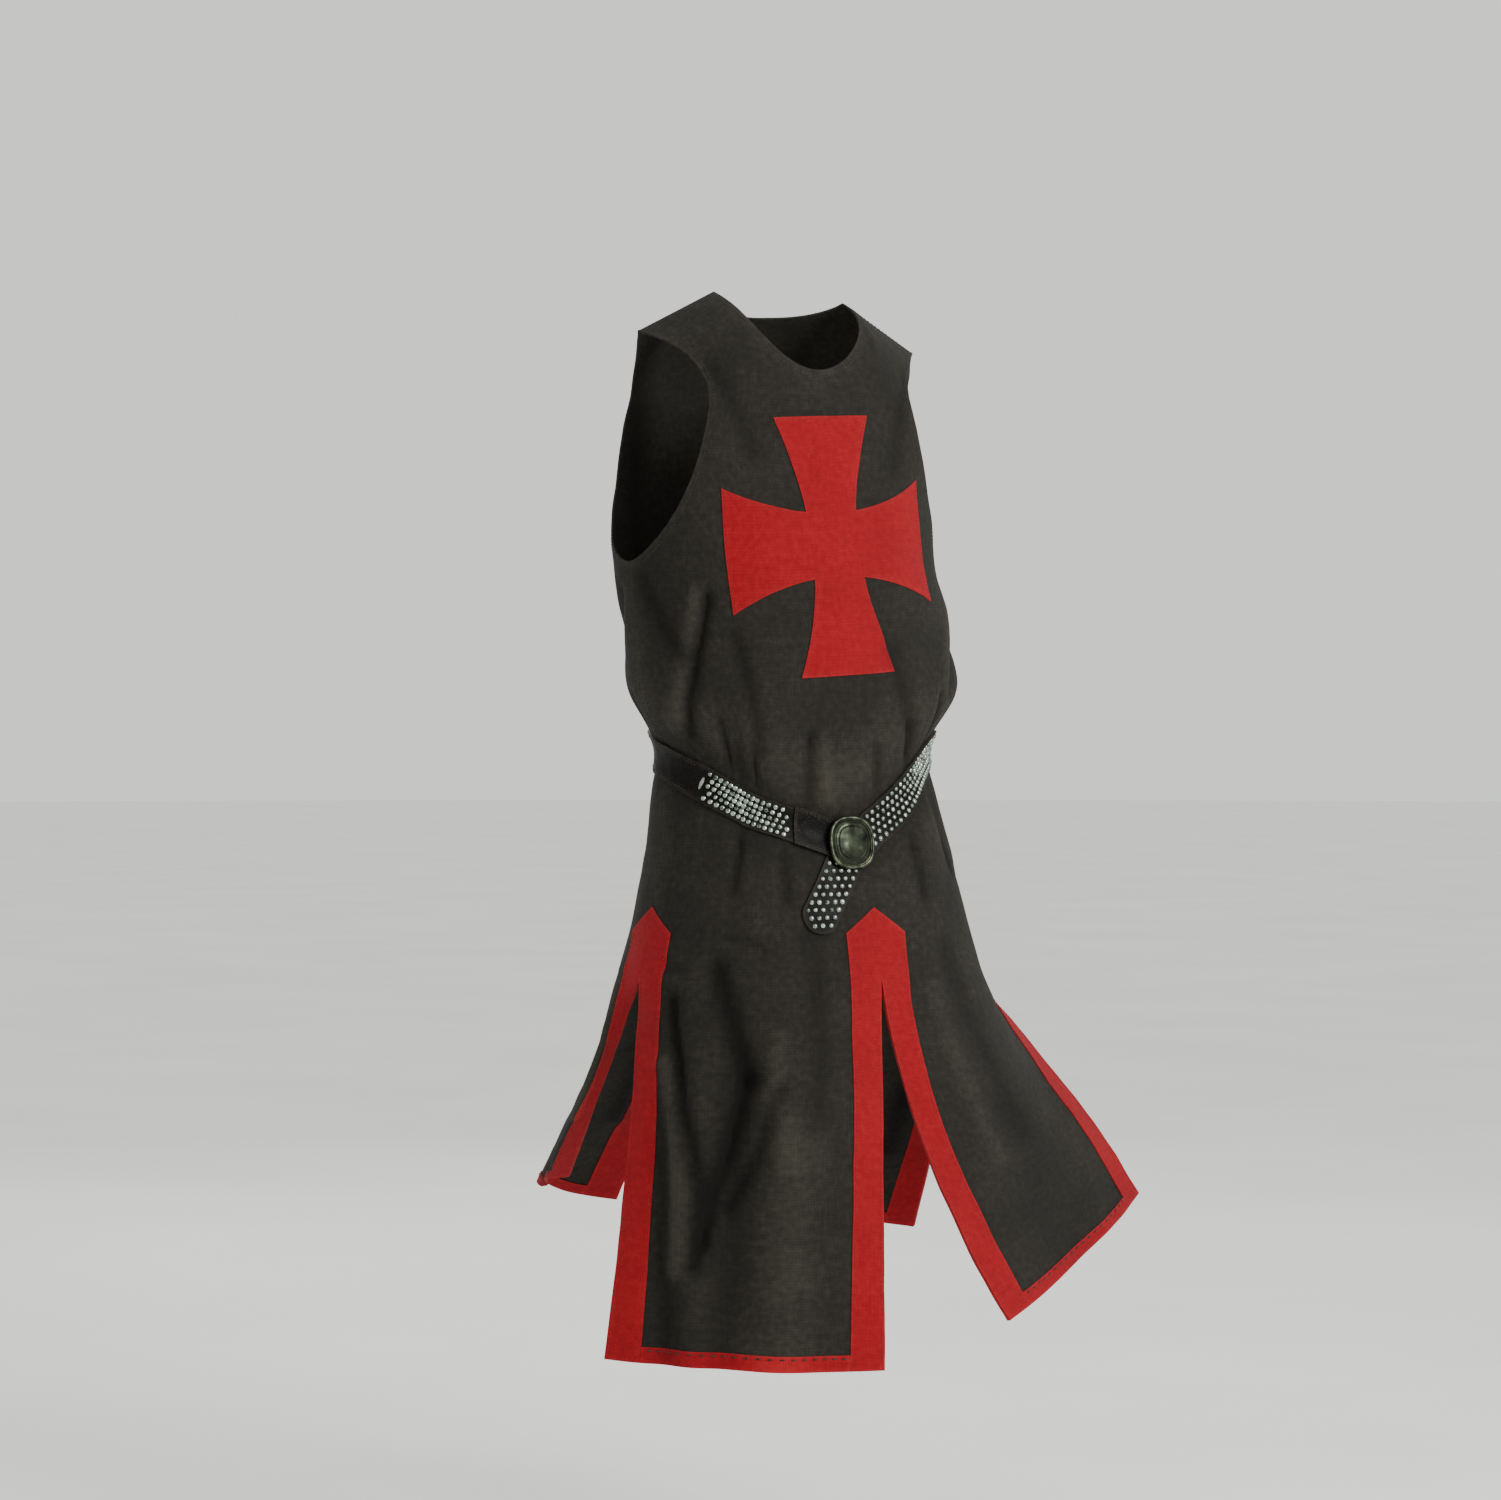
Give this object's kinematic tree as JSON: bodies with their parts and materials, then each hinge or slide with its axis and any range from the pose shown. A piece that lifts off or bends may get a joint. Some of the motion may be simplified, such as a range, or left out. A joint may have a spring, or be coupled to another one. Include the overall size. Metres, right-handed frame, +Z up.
{
  "type": "tabard",
  "caption": "Sleeveless worn tabard, slit at centre front, back and sides into four hanging quarters, with a cross on the chest and a low studded belt.",
  "frame": {"origin": "between the shoulders, at the height of the neck points, where the shoulders hold the garment", "axes": "+Z up, the front faces -Y, the wearer's left is +X"},
  "size_m": [0.7035, 0.5968, 1.1605],
  "materials": {
    "charcoal_cotton": "matt cotton twill, dyed charcoal, faded a little on the folds",
    "red_cotton": "matt plain-woven cotton, dyed red, edge-stitched",
    "black_leather": "black dyed cowhide, waxed, with a satin sheen; the strap is set with small nickel studs",
    "antique_brass": "antiqued cast brass, darkened in its engraving and rubbed bright at its rim"
  },
  "bodies": {
    "root": {"front_panel": "charcoal_cotton", "back_panel": "charcoal_cotton", "cross_applique": "red_cotton", "slit_band_front": "red_cotton", "slit_band_left": "red_cotton", "slit_band_back": "red_cotton", "slit_band_right": "red_cotton", "hem_band_front_left": "red_cotton", "hem_band_back_left": "red_cotton", "hem_band_back_right": "red_cotton", "hem_band_front_right": "red_cotton", "belt_strap": "black_leather", "belt_end": "black_leather", "belt_plate": "antique_brass"}
  },
  "joints": []
}
